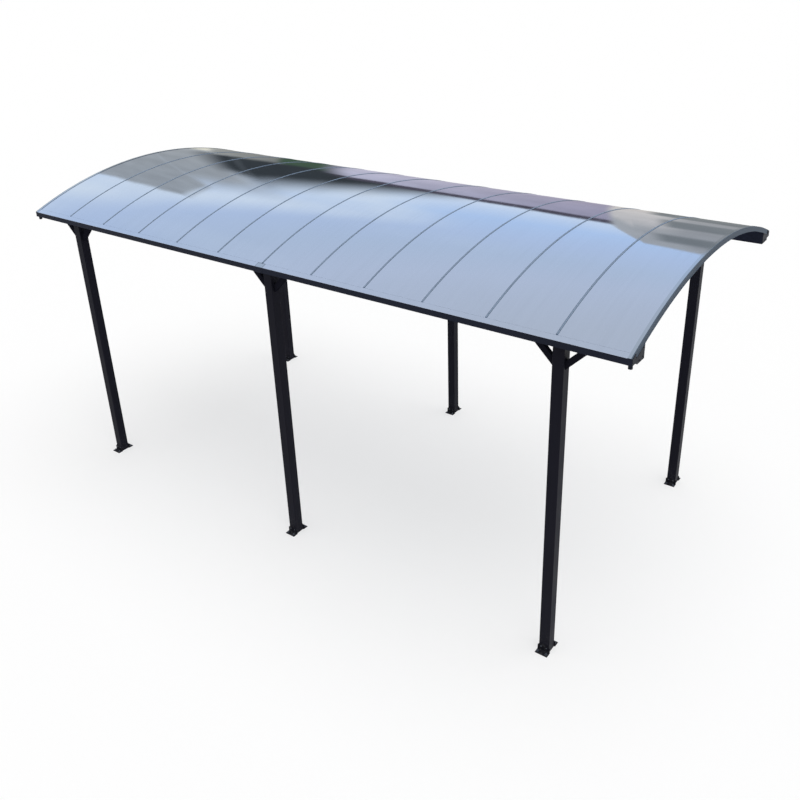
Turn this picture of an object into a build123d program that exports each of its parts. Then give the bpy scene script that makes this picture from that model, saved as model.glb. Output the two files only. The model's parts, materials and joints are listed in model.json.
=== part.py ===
"""An open-sided carport with an arched roof.

Six square posts carry two gutter beams. Arched ribs span from beam to beam, and curved roof sheets
lie on the ribs under narrow cap strips. X runs along the eaves, Y across the roof, the ground is Z = 0.
"""

import os
from math import asin, atan2, cos, degrees, sin, sqrt, tan

from build123d import *

os.makedirs("parts", exist_ok=True)

# Layout
bay_pitch = 610.0  # from one roof rib to the next
bay_count = 12
post_inset_bays = 1  # bays between a roof end and the outer posts
post_row = 1575.0  # from the ridge line to the middle of a row of posts
eave_reach = 85.0  # from a row of posts out to the rib ends
eave_height = 3133.0  # roof surface above the ground at the rib ends
arch_rise = 320.0  # roof surface at the ridge above the rib ends

# Shared fits
fit_gap = 0.3
overrun = 5.0  # how far a cut runs past the piece

# Posts
post_size = 100.0
post_wall = 2.5
post_corner = 3.0  # bevel along the post's edges

# Feet: a pair of angle cleats to each post
foot_width = 120.0
foot_reach = 60.0  # out from the post's face
foot_rise = 70.0  # up the post's face
foot_thickness = 6.0
foot_bend = 6.0  # bevel inside the angle
foot_taper = 18.0  # cut off the cleat's upper corners
foot_hole = 12.0
foot_hole_edge = 20.0  # hole centre to the cleat's side
foot_hole_reach = 36.0  # hole centre to the post's face

# Knee braces
brace_leg = 210.0  # along the post and along the beam
brace_size = 52.0  # across the face that shows from the front
brace_depth = 40.0
brace_wall = 2.5

# Roof sheets
sheet_thickness = 4.0
sheet_edge_gap = 3.0  # room for a sheet to grow, from its edge to the rib's middle or the end web
sheet_drip = 6.0  # sheet past the gutter's upstand

# Ribs and their cap strips
rib_width = 26.0
end_rib_width = 36.0
rib_depth = 40.0
cap_margin = 5.0  # rib past the cap strip on each side
cap_thickness = 3.0
cap_bevel = 3.0
end_web = 3.0
bead_height = 5.0
bead_reach = 2.5

# Gutter beams
beam_wall = 3.0
beam_margin = 25.0  # beam past the post's inner face
beam_step = 23.0  # gutter floor over the beam's underside
gutter_reach = 62.0  # from the rib ends to the fascia
fascia_height = 54.0
lip_slot = 6.0  # open slot between the sheets and the lip
beam_joint = 1.0
cover_width = 90.0
cover_wall = 2.0

# Gutter end caps with their drain spouts
end_plate = 4.0
tongue_length = 75.0
tongue_wall = 3.0
spout_size = 34.0
spout_wall = 3.0
spout_drop = 36.0
spout_inset = 20.0  # spout centre to the beam's end

# The arch: every roof surface is a cylinder about one axis along X
rib_end = post_row + eave_reach
roof_radius = (rib_end**2 + arch_rise**2) / (2 * arch_rise)
arch_centre = eave_height + arch_rise - roof_radius
sheet_low = roof_radius - sheet_thickness
rib_high = sheet_low - fit_gap
rib_low = rib_high - rib_depth
seat_radius = rib_low - fit_gap
cap_low = roof_radius + fit_gap
cap_high = cap_low + cap_thickness
rib_angle = asin(rib_end / roof_radius)
cap_width = rib_width - 2 * cap_margin
arch_axis = Axis((0, 0, arch_centre), (-1, 0, 0))


def arch_z(across, radius):
    """Height of a roof cylinder at a distance across from the ridge line."""
    return arch_centre + sqrt(radius**2 - across**2)


def arch_plane(angle):
    """Plane through the arch axis at the front eave: X along the eave, Y out along the radius."""
    return Plane(origin=(0, 0, arch_centre), x_dir=(1, 0, 0), z_dir=(0, -cos(angle), -sin(angle)))


# Places along the eaves
roof_half = bay_pitch * bay_count / 2
rib_places = [bay_pitch * (i - bay_count / 2) for i in range(1, bay_count)]
post_place = roof_half - bay_pitch * post_inset_bays
columns = {"left": -post_place, "middle": 0, "right": post_place}
sides = {"front": -1, "back": 1}
ends = {"left": -1, "right": 1}

# The gutter beam's section, as distances across from the ridge line and heights
beam_inner = post_row - post_size / 2 - beam_margin
flat_end = post_row + post_size / 2
upstand_inner = rib_end + fit_gap
upstand_outer = upstand_inner + beam_wall
sheet_end = upstand_outer + sheet_drip
lip_inner = sheet_end + lip_slot
fascia = rib_end + gutter_reach
lip_corner = arch_z(fascia, roof_radius)
lip_slope = atan2(arch_z(lip_inner, roof_radius) - lip_corner, fascia - lip_inner)
gutter_low = lip_corner - fascia_height
gutter_floor = gutter_low + beam_wall
beam_low = gutter_low - beam_step
splay = atan2(gutter_low - beam_low, upstand_outer - flat_end)
sheet_angle = asin(sheet_end / roof_radius)
flange_angle = asin(fascia / cap_high)
sheet_seat = sheet_low - fit_gap
post_height = beam_low


def lip_z(across, lift):
    """Height of the lip's slope at a distance across, lifted square to the slope."""
    return lip_corner + (fascia - across) * tan(lip_slope) + lift / cos(lip_slope)


def seat_arc(side, radius, start, end):
    """Arc of the rib seat between two distances across."""
    middle = (start + end) / 2
    ThreePointArc(*[(side * u, arch_z(u, radius)) for u in (start, middle, end)])


def beam_outline(side, lip_points):
    """Closed edge of the beam's section, with the points that run between its lip and its upstand."""
    Polyline(
        (side * beam_inner, arch_z(beam_inner, seat_radius)),
        (side * beam_inner, beam_low),
        (side * flat_end, beam_low),
        (side * upstand_outer, gutter_low),
        (side * fascia, gutter_low),
        (side * fascia, lip_corner),
        (side * lip_inner, lip_z(lip_inner, 0)),
        *[(side * u, z) for u, z in lip_points],
        (side * upstand_outer, arch_z(upstand_outer, sheet_seat)),
        (side * upstand_inner, arch_z(upstand_inner, sheet_seat)),
        (side * upstand_inner, arch_z(upstand_inner, seat_radius)),
    )
    seat_arc(side, seat_radius, upstand_inner, beam_inner)


def chamber_outline(side):
    """Closed edge of the hollow inside the beam."""
    inner = beam_inner + beam_wall
    floor = beam_low + beam_wall
    splay_start = flat_end - beam_wall * tan(splay / 2)
    splay_top = floor + (upstand_inner - splay_start) * tan(splay)
    Polyline(
        (side * inner, arch_z(inner, seat_radius - beam_wall)),
        (side * inner, floor),
        (side * splay_start, floor),
        (side * upstand_inner, splay_top),
        (side * upstand_inner, arch_z(upstand_inner, seat_radius - beam_wall)),
    )
    seat_arc(side, seat_radius - beam_wall, upstand_inner, inner)


gutter_trough = [
    (lip_inner, lip_z(lip_inner, -beam_wall)),
    (fascia - beam_wall, lip_z(fascia - beam_wall, -beam_wall)),
    (fascia - beam_wall, gutter_floor),
    (upstand_outer, gutter_floor),
]
spout_across = (upstand_outer + fascia - beam_wall) / 2
spout_place = roof_half - spout_inset

# Posts: square tubes from the ground to the beams
for side_name, side in sides.items():
    for column_name, column in columns.items():
        with BuildPart() as post:
            with BuildSketch() as tube:
                with Locations((column, side * post_row)):
                    Rectangle(post_size, post_size)
                    chamfer(tube.vertices(), post_corner)
                    Rectangle(post_size - 2 * post_wall, post_size - 2 * post_wall, mode=Mode.SUBTRACT)
            extrude(amount=post_height)
        post.part.label = f"post_{side_name}_{column_name}"
        export_step(post.part, f"parts/{post.part.label}.step")

# Feet: an angle cleat on the outer and on the inner face of each post of a row
for side_name, side in sides.items():
    with BuildPart() as feet:
        for column in columns.values():
            for facing in (-1, 1):
                face = side * post_row + facing * post_size / 2
                with BuildSketch(Plane.YZ.offset(column - foot_width / 2)) as cleat:
                    with BuildLine():
                        Polyline(
                            (face, 0),
                            (face + facing * foot_reach, 0),
                            (face + facing * foot_reach, foot_thickness),
                            (face + facing * foot_thickness, foot_thickness),
                            (face + facing * foot_thickness, foot_rise),
                            (face, foot_rise),
                            close=True,
                        )
                    make_face()
                    bend = (face + facing * foot_thickness, foot_thickness)
                    chamfer(cleat.vertices().sort_by_distance(bend)[0], foot_bend)
                extrude(amount=foot_width)
        chamfer(feet.edges().filter_by(Axis.Y).group_by(Axis.Z)[-1], foot_taper)
        hole_pitch = foot_width - 2 * foot_hole_edge
        hole_span = post_size + 2 * foot_hole_reach
        with BuildSketch():
            with Locations(*[(column, side * post_row) for column in columns.values()]):
                with GridLocations(hole_pitch, hole_span, 2, 2):
                    Circle(foot_hole / 2)
        extrude(amount=foot_thickness + overrun, mode=Mode.SUBTRACT)
    feet.part.label = f"feet_{side_name}"
    export_step(feet.part, f"parts/{feet.part.label}.step")

# Knee braces: a pair of mitred tubes between each post and the beam over it
brace_cut = brace_size * sqrt(2)
brace_skin = brace_wall * sqrt(2)
bore_outer = brace_leg - brace_skin + overrun
bore_inner = brace_leg - brace_cut + brace_skin + overrun
for side_name, side in sides.items():
    for column_name, column in columns.items():
        with BuildPart() as brace:
            for hand in (-1, 1):
                face = column + hand * post_size / 2
                with BuildSketch(Plane.XZ.offset(-side * post_row)):
                    with BuildLine():
                        Polyline(
                            (face, beam_low - brace_leg),
                            (face + hand * brace_leg, beam_low),
                            (face + hand * (brace_leg - brace_cut), beam_low),
                            (face, beam_low - brace_leg + brace_cut),
                            close=True,
                        )
                    make_face()
                extrude(amount=brace_depth / 2, both=True)
                with BuildSketch(Plane.XZ.offset(-side * post_row)):
                    with BuildLine():
                        Polyline(
                            (face - hand * overrun, beam_low - bore_outer),
                            (face + hand * bore_outer, beam_low + overrun),
                            (face + hand * bore_inner, beam_low + overrun),
                            (face - hand * overrun, beam_low - bore_inner),
                            close=True,
                        )
                    make_face()
                extrude(amount=brace_depth / 2 - brace_wall, both=True, mode=Mode.SUBTRACT)
        brace.part.label = f"brace_pair_{side_name}_{column_name}"
        export_step(brace.part, f"parts/{brace.part.label}.step")

# Gutter beams: one extruded profile, two lengths on each side
for side_name, side in sides.items():
    for end_name, hand in ends.items():
        with BuildPart() as beam:
            with BuildSketch(Plane.YZ.offset(hand * beam_joint / 2)):
                with BuildLine():
                    beam_outline(side, gutter_trough)
                make_face()
                with BuildLine():
                    chamber_outline(side)
                make_face(mode=Mode.SUBTRACT)
            extrude(amount=hand * (roof_half - beam_joint / 2))
            with BuildSketch(Plane.XY.offset(gutter_low - overrun)):
                with Locations((hand * spout_place, side * spout_across)):
                    Circle(spout_size / 2 + fit_gap)
            extrude(amount=beam_wall + 2 * overrun, mode=Mode.SUBTRACT)
        beam.part.label = f"gutter_beam_{side_name}_{end_name}"
        export_step(beam.part, f"parts/{beam.part.label}.step")

# Joint covers: a strip wrapped round the gutter where its two lengths meet
for side_name, side in sides.items():
    with BuildPart() as cover:
        with BuildSketch(Plane.YZ.offset(-cover_width / 2)):
            near = fit_gap
            far = fit_gap + cover_wall
            with BuildLine():
                Polyline(
                    (side * upstand_outer, gutter_low - near),
                    (side * upstand_outer, gutter_low - far),
                    (side * (fascia + far), gutter_low - far),
                    (side * (fascia + far), lip_z(fascia + far, far)),
                    (side * lip_inner, lip_z(lip_inner, far)),
                    (side * lip_inner, lip_z(lip_inner, near)),
                    (side * (fascia + near), lip_z(fascia + near, near)),
                    (side * (fascia + near), gutter_low - near),
                    close=True,
                )
            make_face()
        extrude(amount=cover_width)
    cover.part.label = f"gutter_joint_{side_name}"
    export_step(cover.part, f"parts/{cover.part.label}.step")

# Gutter end caps: a plate over the beam's end, a tongue in the gutter and a drain spout
tongue_low = gutter_floor + fit_gap
tongue_width = fascia - beam_wall - upstand_outer - 2 * fit_gap
spout_low = gutter_low - spout_drop
spout_length = tongue_low - spout_low
for end_name, hand in ends.items():
    with BuildPart() as end_caps:
        for side in sides.values():
            with BuildSketch(Plane.YZ.offset(hand * roof_half)):
                with BuildLine():
                    beam_outline(side, [])
                make_face()
            extrude(amount=hand * end_plate)
            with BuildSketch(Plane.XY.offset(tongue_low)):
                with Locations((hand * (roof_half - tongue_length / 2), side * spout_across)):
                    Rectangle(tongue_length, tongue_width)
            extrude(amount=tongue_wall)
            with BuildSketch(Plane.XY.offset(spout_low)):
                with Locations((hand * spout_place, side * spout_across)):
                    Circle(spout_size / 2)
            extrude(amount=spout_length)
            with BuildSketch(Plane.XY.offset(spout_low - overrun)):
                with Locations((hand * spout_place, side * spout_across)):
                    Circle(spout_size / 2 - spout_wall)
            extrude(amount=spout_length + tongue_wall + 2 * overrun, mode=Mode.SUBTRACT)
    end_caps.part.label = f"gutter_end_caps_{end_name}"
    export_step(end_caps.part, f"parts/{end_caps.part.label}.step")

# Rib bars: arched bars under the joints between the sheets
with BuildPart() as rib_bars:
    with BuildSketch(arch_plane(rib_angle)):
        with Locations(*[(x, (rib_low + rib_high) / 2) for x in rib_places]):
            Rectangle(rib_width, rib_depth)
    revolve(axis=arch_axis, revolution_arc=2 * degrees(rib_angle))
rib_bars.part.label = "rib_bars"
export_step(rib_bars.part, "parts/rib_bars.step")

# Rib caps: bevelled strips over the joints between the sheets
with BuildPart() as rib_caps:
    with BuildSketch(arch_plane(rib_angle)):
        for x in rib_places:
            with BuildLine():
                Polyline(
                    (x - cap_width / 2, cap_low),
                    (x + cap_width / 2, cap_low),
                    (x + cap_width / 2 - cap_bevel, cap_high),
                    (x - cap_width / 2 + cap_bevel, cap_high),
                    close=True,
                )
            make_face()
    revolve(axis=arch_axis, revolution_arc=2 * degrees(rib_angle))
rib_caps.part.label = "rib_caps"
export_step(rib_caps.part, "parts/rib_caps.step")

# End ribs: a bar with a web up past the sheet's edge and a bead below, and a flange over sheet and lip
for end_name, hand in ends.items():
    with BuildPart() as end_rib:
        with BuildSketch(arch_plane(rib_angle)):
            with Locations((hand * (roof_half - end_rib_width / 2), (rib_low + rib_high) / 2)):
                Rectangle(end_rib_width, rib_depth)
            with Locations((hand * (roof_half - end_web / 2), (rib_low + cap_high) / 2)):
                Rectangle(end_web, cap_high - rib_low)
            with Locations((hand * (roof_half + bead_reach / 2), rib_low + bead_height / 2)):
                Rectangle(bead_reach, bead_height)
        revolve(axis=arch_axis, revolution_arc=2 * degrees(rib_angle))
        with BuildSketch(arch_plane(flange_angle)):
            with Locations((hand * (roof_half - end_rib_width / 2), (cap_low + cap_high) / 2)):
                Rectangle(end_rib_width, cap_thickness)
        revolve(axis=arch_axis, revolution_arc=2 * degrees(flange_angle))
    end_rib.part.label = f"end_rib_{end_name}"
    export_step(end_rib.part, f"parts/{end_rib.part.label}.step")

# Roof sheets: one curved sheet to each bay, on the bars and under the strips
for bay in range(bay_count):
    middle = bay_pitch * (bay - (bay_count - 1) / 2)
    low = max(middle - bay_pitch / 2, end_web - roof_half) + sheet_edge_gap
    high = min(middle + bay_pitch / 2, roof_half - end_web) - sheet_edge_gap
    with BuildPart() as sheet:
        with BuildSketch(arch_plane(sheet_angle)):
            with Locations(((low + high) / 2, (sheet_low + roof_radius) / 2)):
                Rectangle(high - low, sheet_thickness)
        revolve(axis=arch_axis, revolution_arc=2 * degrees(sheet_angle))
    sheet.part.label = f"roof_sheet_{bay + 1:02d}"
    export_step(sheet.part, f"parts/{sheet.part.label}.step")
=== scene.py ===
"""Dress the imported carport: finishes, roof sheets, seals, fasteners, studio and camera.

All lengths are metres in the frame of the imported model: X along the eaves, Y across the roof
from the front eave to the back eave, Z up from the ground.
"""

import json
import logging
import math
from dataclasses import dataclass
from enum import Enum, auto
from typing import Iterator, Sequence

import bmesh
import bpy
from mathutils import Matrix, Vector


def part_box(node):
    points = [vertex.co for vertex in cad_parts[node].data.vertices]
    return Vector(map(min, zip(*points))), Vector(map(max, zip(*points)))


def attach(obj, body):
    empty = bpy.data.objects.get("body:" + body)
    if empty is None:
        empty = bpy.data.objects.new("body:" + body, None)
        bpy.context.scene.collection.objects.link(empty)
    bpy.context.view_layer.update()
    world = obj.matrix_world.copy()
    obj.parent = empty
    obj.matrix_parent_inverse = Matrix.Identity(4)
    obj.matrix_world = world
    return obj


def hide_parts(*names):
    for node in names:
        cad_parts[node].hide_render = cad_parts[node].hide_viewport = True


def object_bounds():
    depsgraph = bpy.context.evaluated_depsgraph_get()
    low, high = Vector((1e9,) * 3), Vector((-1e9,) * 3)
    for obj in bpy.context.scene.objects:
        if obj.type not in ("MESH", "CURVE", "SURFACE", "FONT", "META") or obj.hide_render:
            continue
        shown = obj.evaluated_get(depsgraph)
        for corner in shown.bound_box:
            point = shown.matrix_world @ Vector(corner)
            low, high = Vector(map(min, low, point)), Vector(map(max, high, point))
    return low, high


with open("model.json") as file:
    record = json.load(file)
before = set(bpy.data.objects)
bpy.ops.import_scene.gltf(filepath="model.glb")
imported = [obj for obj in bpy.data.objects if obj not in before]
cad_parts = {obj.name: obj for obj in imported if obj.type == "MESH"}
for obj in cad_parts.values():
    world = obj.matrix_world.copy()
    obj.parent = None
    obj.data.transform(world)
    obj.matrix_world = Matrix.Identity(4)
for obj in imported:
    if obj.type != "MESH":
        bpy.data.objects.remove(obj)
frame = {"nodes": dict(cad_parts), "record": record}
cad_low, cad_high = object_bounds()

log = logging.getLogger("carport")

Pair = tuple[float, float]
Triple = tuple[float, float, float]
Colour = Triple
Box = tuple[Vector, Vector]
Socket = bpy.types.NodeSocket
Material = bpy.types.Material

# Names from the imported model, or the words that they begin with.
BODY = "root"
CAP_STRIPS = "rib_caps"
JOINT_COVER = "gutter_joint"
BRACES = "brace_pair"
PLAIN_SHEET = "roof_sheet_02"

# Values that several classes use, with angles in radians.
SHEET_THICKNESS = 0.004
HALF_TURN = math.pi
FULL_TURN = 2 * math.pi
MILLIMETRE = 0.001
HEXAGON = 6
SHARP_EDGE = 0.6
FIT_ROUNDS = 12
NOISE_MIDDLE: Pair = (0.3, 0.7)

# Linear tones of the coats and plastics.
WHITE: Colour = (1.0, 1.0, 1.0)
POST_TONE: Colour = (0.0145, 0.0146, 0.0235)
BRACE_TONE: Colour = (0.0175, 0.0176, 0.0275)
GUTTER_TONE: Colour = (0.023, 0.027, 0.045)
RIB_TONE: Colour = (0.085, 0.115, 0.156)
STRIP_TONE: Colour = (0.26, 0.335, 0.44)
FOOT_TONE: Colour = (0.0130, 0.0131, 0.0190)
CAP_TONE: Colour = (0.017, 0.020, 0.029)
RUBBER_TONE: Colour = (0.030, 0.034, 0.042)


class Named(Enum):
    """Options whose names are words in the names of nodes."""

    @property
    def word(self) -> str:
        """The option's word in the names of nodes."""
        return self.name.lower()


class Side(Named):
    """The two eaves, with the sign of their Y."""

    FRONT = -1
    BACK = 1


class End(Named):
    """The two roof ends, with the sign of their X."""

    LEFT = -1
    RIGHT = 1


class Column(Named):
    """The three posts of an eave."""

    LEFT = auto()
    MIDDLE = auto()
    RIGHT = auto()


class Slot(Enum):
    """The record's material slots."""

    FRAME = "frame_coat"
    GUTTER = "gutter_coat"
    RIB = "rib_coat"
    FOOT = "foot_coat"
    CAP = "end_cap_plastic"
    SHEET = "roof_sheet"


def scaled(colour: Colour, factor: float = 1.0) -> tuple[float, float, float, float]:
    """A socket's colour with full alpha: a linear colour at a share of its brightness."""
    return (colour[0] * factor, colour[1] * factor, colour[2] * factor, 1.0)


class Graph:
    """A node tree with short calls that add and link nodes."""

    def __init__(self, tree: bpy.types.NodeTree) -> None:
        """Take over the tree of a material or a world and empty it."""
        self.tree = tree
        self.tree.nodes.clear()

    def add(
        self, kind: str, inputs: dict[str | int, object] | None = None, **settings: object
    ) -> bpy.types.Node:
        """Add one node.

        Args:
            kind: The node's type name without its ShaderNode prefix.
            inputs: Values or sockets for its inputs, by name or number.
            settings: Values for its own properties.

        Returns:
            The new node.
        """
        node = self.tree.nodes.new("ShaderNode" + kind)
        for key, value in settings.items():
            setattr(node, key, value)
        for key, value in (inputs or {}).items():
            if isinstance(value, Socket):
                self.tree.links.new(value, node.inputs[key])
            else:
                node.inputs[key].default_value = value
        return node

    def math(self, operation: str, first: Socket | float, second: Socket | float = 0.0) -> Socket:
        """Work out a named operation on one or two numbers."""
        return self.add("Math", {0: first, 1: second}, operation=operation).outputs[0]

    def blend(
        self, share: Socket, first: Socket | Sequence[float], second: Socket | Sequence[float]
    ) -> Socket:
        """Blend two colours.

        Args:
            share: Share of the second colour.
            first: First colour.
            second: Second colour.

        Returns:
            The blended colour's socket.
        """
        pick = "Factor_Float", "A_Color", "B_Color"
        node = self.add("Mix", data_type="RGBA")
        sockets = {entry.identifier: entry for entry in node.inputs}
        for name, value in zip(pick, (share, first, second)):
            if isinstance(value, Socket):
                self.tree.links.new(value, sockets[name])
            else:
                sockets[name].default_value = value
        return next(out for out in node.outputs if out.identifier == "Result_Color")

    def span(
        self, value: Socket, start: float, stop: float, low: float, high: float, soft: bool = False
    ) -> Socket:
        """Map a number from one range to another, held at both ends.

        Args:
            value: The number.
            start: Where the first range begins.
            stop: Where the first range ends.
            low: Result at the beginning.
            high: Result at the end.
            soft: Whether the change eases in and out.

        Returns:
            The result's socket.
        """
        inputs = {"Value": value, "From Min": start, "From Max": stop, "To Min": low, "To Max": high}
        shape = "SMOOTHSTEP" if soft else "LINEAR"
        return self.add("MapRange", inputs, interpolation_type=shape).outputs["Result"]

    def noise(self, place: Socket, grain: float, detail: float) -> Socket:
        """Cloudy noise from 0 to 1, with clouds of a grain in metres and octaves of finer detail."""
        node = self.add("TexNoise", {"Vector": place, "Scale": 1 / grain, "Detail": detail})
        return node.outputs["Fac"]

    def cloudy(self, cloud: Socket, colour: Colour, swing: float) -> Socket:
        """A colour whose brightness swings both ways with a cloud."""
        return self.blend(cloud, scaled(colour, 1.0 - swing), scaled(colour, 1.0 + swing))

    def places(self) -> Socket:
        """Coordinates of the shaded point in metres."""
        return self.add("TexCoord").outputs["Object"]

    def height_of(self, vector: Socket) -> Socket:
        """The Z part of a vector."""
        return self.add("SeparateXYZ", {0: vector}).outputs["Z"]

    def facing_up(self) -> Socket:
        """The Z part of the surface normal, 1 on level tops."""
        return self.height_of(self.add("NewGeometry").outputs["Normal"])

    def bump(self, height: Socket, depth: float) -> Socket:
        """Turn a height from 0 to 1 into a surface normal, with the full height's depth in metres."""
        return self.add("Bump", {"Height": height, "Distance": depth}).outputs["Normal"]

    def surface(self, **inputs: object) -> None:
        """Add the shader and its output.

        Args:
            inputs: Values or sockets of the Principled shader, with _ for each space.
        """
        named = {key.replace("_", " "): value for key, value in inputs.items()}
        shader = self.add("BsdfPrincipled", named)
        self.add("OutputMaterial", {"Surface": shader.outputs[0]})


def new_material(name: str) -> tuple[Material, Graph]:
    """Start a material.

    Args:
        name: The material's name.

    Returns:
        The material and its empty graph.
    """
    material = bpy.data.materials.new(name)
    material.use_nodes = True
    return material, Graph(material.node_tree)


def side_of(box: Box, axis: str, sign: int) -> float:
    """Where a box ends along an axis: its low side for a negative sign, else its high side."""
    return getattr(box[0] if sign < 0 else box[1], axis)


def placed(name: str, data: bpy.types.ID) -> bpy.types.Object:
    """Stand a mesh, a lamp or a lens in the scene.

    Args:
        name: Name of the object.
        data: What it holds.

    Returns:
        The new object.
    """
    made = bpy.data.objects.new(name, data)
    bpy.context.scene.collection.objects.link(made)
    return made


def grid_faces(columns: int, rows: int) -> list[tuple[int, ...]]:
    """Faces of a grid whose points are stored row by row.

    Args:
        columns: Cells in a row.
        rows: Rows of cells.

    Returns:
        The corners of each cell.
    """
    wide = columns + 1
    corners = [row * wide + column for row in range(rows) for column in range(columns)]
    return [(at, at + 1, at + wide + 1, at + wide) for at in corners]


@dataclass(frozen=True)
class PowderCoat:
    """Satin powder coat: fine peel, cloudy tone, dust on tops and splashes near the ground."""

    name: str
    colour: Colour
    roughness: float = 0.46
    gloss: float = 0.05
    metal: float = 0.0
    dust_share: float = 0.04
    dust: Colour = (0.30, 0.30, 0.29)
    peel_grain: float = 0.0016
    peel_depth: float = 0.00006
    cloud_grain: float = 0.35
    speck_grain: float = 0.018
    splash_height: float = 0.30
    splash_share: float = 0.10
    tone_swing: float = 0.22
    roughness_swing: float = 0.05
    dust_from: Pair = (0.6, 0.98)
    dust_low_share: float = 0.4
    speck_from: Pair = (0.52, 0.62)
    dirt_roughness: float = 0.8

    def material(self) -> Material:
        """Build the coat.

        Returns:
            The new material.
        """
        material, graph = new_material(self.name)
        place = graph.places()
        cloud = graph.noise(place, self.cloud_grain, detail=5)
        speck = graph.noise(place, self.speck_grain, detail=4)
        patchy = graph.span(cloud, *NOISE_MIDDLE, self.dust_low_share, 1.0)
        settled = graph.span(graph.facing_up(), *self.dust_from, 0.0, self.dust_share)
        low = graph.span(graph.height_of(place), 0.0, self.splash_height, self.splash_share, 0.0)
        splash = graph.math("MULTIPLY", low, graph.span(speck, *self.speck_from, 0.0, 1.0))
        dirt = graph.math("ADD", graph.math("MULTIPLY", settled, patchy), splash)
        least, most = self.roughness - self.roughness_swing, self.roughness + self.roughness_swing
        rough = graph.span(cloud, *NOISE_MIDDLE, least, most)
        tone = graph.cloudy(cloud, self.colour, self.tone_swing)
        graph.surface(
            Base_Color=graph.blend(dirt, tone, scaled(self.dust)),
            Metallic=self.metal,
            Roughness=graph.math("ADD", rough, graph.math("MULTIPLY", dirt, self.dirt_roughness)),
            Specular_IOR_Level=self.gloss,
            Normal=graph.bump(graph.noise(place, self.peel_grain, detail=1), self.peel_depth),
        )
        return material


@dataclass(frozen=True)
class SheenPaintedCoat:
    """Powder coat with a painted sheen on its tops, lighter and mirror-like, short of the roof's ends.
    """

    name: str
    colour: Colour
    # Painted sheen: its colour, metal, the facing-up range where it shows, its insets from the roof's
    # ends, its roughness and its swing.
    dust_film_and_painted_sheen: Colour = (0.49, 0.56, 0.65)
    painted_sheen_metal: float = 0.95
    painted_sheen_from: Pair = (0.55, 0.80)
    painted_sheen_insets: Pair = (0.015, 0.012)
    painted_sheen_roughness: float = 0.12
    roughness: float = 0.5
    gloss: float = 0.08
    cloud_grain: float = 0.30
    peel_grain: float = 0.0016
    peel_depth: float = 0.00004
    tone_swing: float = 0.15
    painted_sheen_swing: float = 0.05

    def material(self) -> Material:
        """Build the coat.

        Returns:
            The new material.
        """
        material, graph = new_material(self.name)
        place = graph.places()
        cloud = graph.noise(place, self.cloud_grain, detail=5)
        along = graph.add("SeparateXYZ", {0: place}).outputs["X"]
        start, stop = (cad_high.x - inset for inset in self.painted_sheen_insets)
        inside = graph.span(graph.math("ABSOLUTE", along), start, stop, 1.0, 0.0, soft=True)
        # Painted sheen: faces that face up turn lighter and mirror-like, fading out near the roof's
        # ends.
        top = graph.span(graph.facing_up(), *self.painted_sheen_from, 0.0, 1.0, soft=True)
        top = graph.math("MULTIPLY", top, inside)
        tone = graph.cloudy(cloud, self.colour, self.tone_swing)
        dust_film_and_painted_sheen = graph.cloudy(cloud, self.dust_film_and_painted_sheen, self.painted_sheen_swing)
        graph.surface(
            Base_Color=graph.blend(top, tone, dust_film_and_painted_sheen),
            Metallic=graph.math("MULTIPLY", top, self.painted_sheen_metal),
            Roughness=graph.span(top, 0.0, 1.0, self.roughness, self.painted_sheen_roughness),
            Specular_IOR_Level=self.gloss,
            Normal=graph.bump(graph.noise(place, self.peel_grain, detail=1), self.peel_depth),
        )
        return material


@dataclass(frozen=True)
class MirrorSheet:
    """Gloss smoke-tinted sheet that mirrors the sky, with faint rain streaks and dust."""

    name: str
    tint: Colour = (0.60, 0.67, 0.79)
    metal: float = 0.97
    clear: float = 0.035
    hazy: float = 0.085
    streak_grain: Triple = (0.035, 1.1, 1.1)
    dust_grain: float = 0.5
    ripple_grain: float = 0.42
    ripple_depth: float = 0.0006
    streak_from: Pair = (0.35, 0.75)
    streak_low_share: float = 0.3
    haze_from: Pair = (0.1, 0.6)
    clean_share: float = 1.03
    dusty_share: float = 0.95

    def material(self) -> Material:
        """Build the sheet.

        Returns:
            The new material.
        """
        material, graph = new_material(self.name)
        place = graph.places()
        stretch = tuple(1 / grain for grain in self.streak_grain)
        drawn = graph.add("Mapping", {"Vector": place, "Scale": stretch}).outputs[0]
        streak = graph.noise(drawn, 1.0, detail=3)
        streak = graph.span(streak, *self.streak_from, self.streak_low_share, 1.0)
        dust_film_and_painted_sheen = graph.math("MULTIPLY", streak, graph.noise(place, self.dust_grain, detail=6))
        clean, dusty = scaled(self.tint, self.clean_share), scaled(self.tint, self.dusty_share)
        graph.surface(
            Base_Color=graph.blend(dust_film_and_painted_sheen, clean, dusty),
            Metallic=self.metal,
            Roughness=graph.span(dust_film_and_painted_sheen, *self.haze_from, self.clear, self.hazy),
            Normal=graph.bump(graph.noise(place, self.ripple_grain, detail=1), self.ripple_depth),
        )
        return material


@dataclass(frozen=True)
class MouldedPlastic:
    """Moulded plastic with a fine grain, duller in the hollows of the grain."""

    name: str
    colour: Colour
    roughness: float = 0.5
    gloss: float = 0.10
    grain: float = 0.0022
    grain_depth: float = 0.0001
    cloud_grain: float = 0.06
    dark_share: float = 0.8
    light_share: float = 1.25
    hollow_roughness: float = 0.1
    crest_roughness: float = -0.05

    def material(self) -> Material:
        """Build the plastic.

        Returns:
            The new material.
        """
        material, graph = new_material(self.name)
        place = graph.places()
        cloud = graph.noise(place, self.cloud_grain, detail=4)
        grain = graph.noise(place, self.grain, detail=2)
        hollow, crest = self.roughness + self.hollow_roughness, self.roughness + self.crest_roughness
        dark, light = scaled(self.colour, self.dark_share), scaled(self.colour, self.light_share)
        graph.surface(
            Base_Color=graph.blend(cloud, dark, light),
            Roughness=graph.span(grain, *NOISE_MIDDLE, hollow, crest),
            Specular_IOR_Level=self.gloss,
            Normal=graph.bump(grain, self.grain_depth),
        )
        return material


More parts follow.
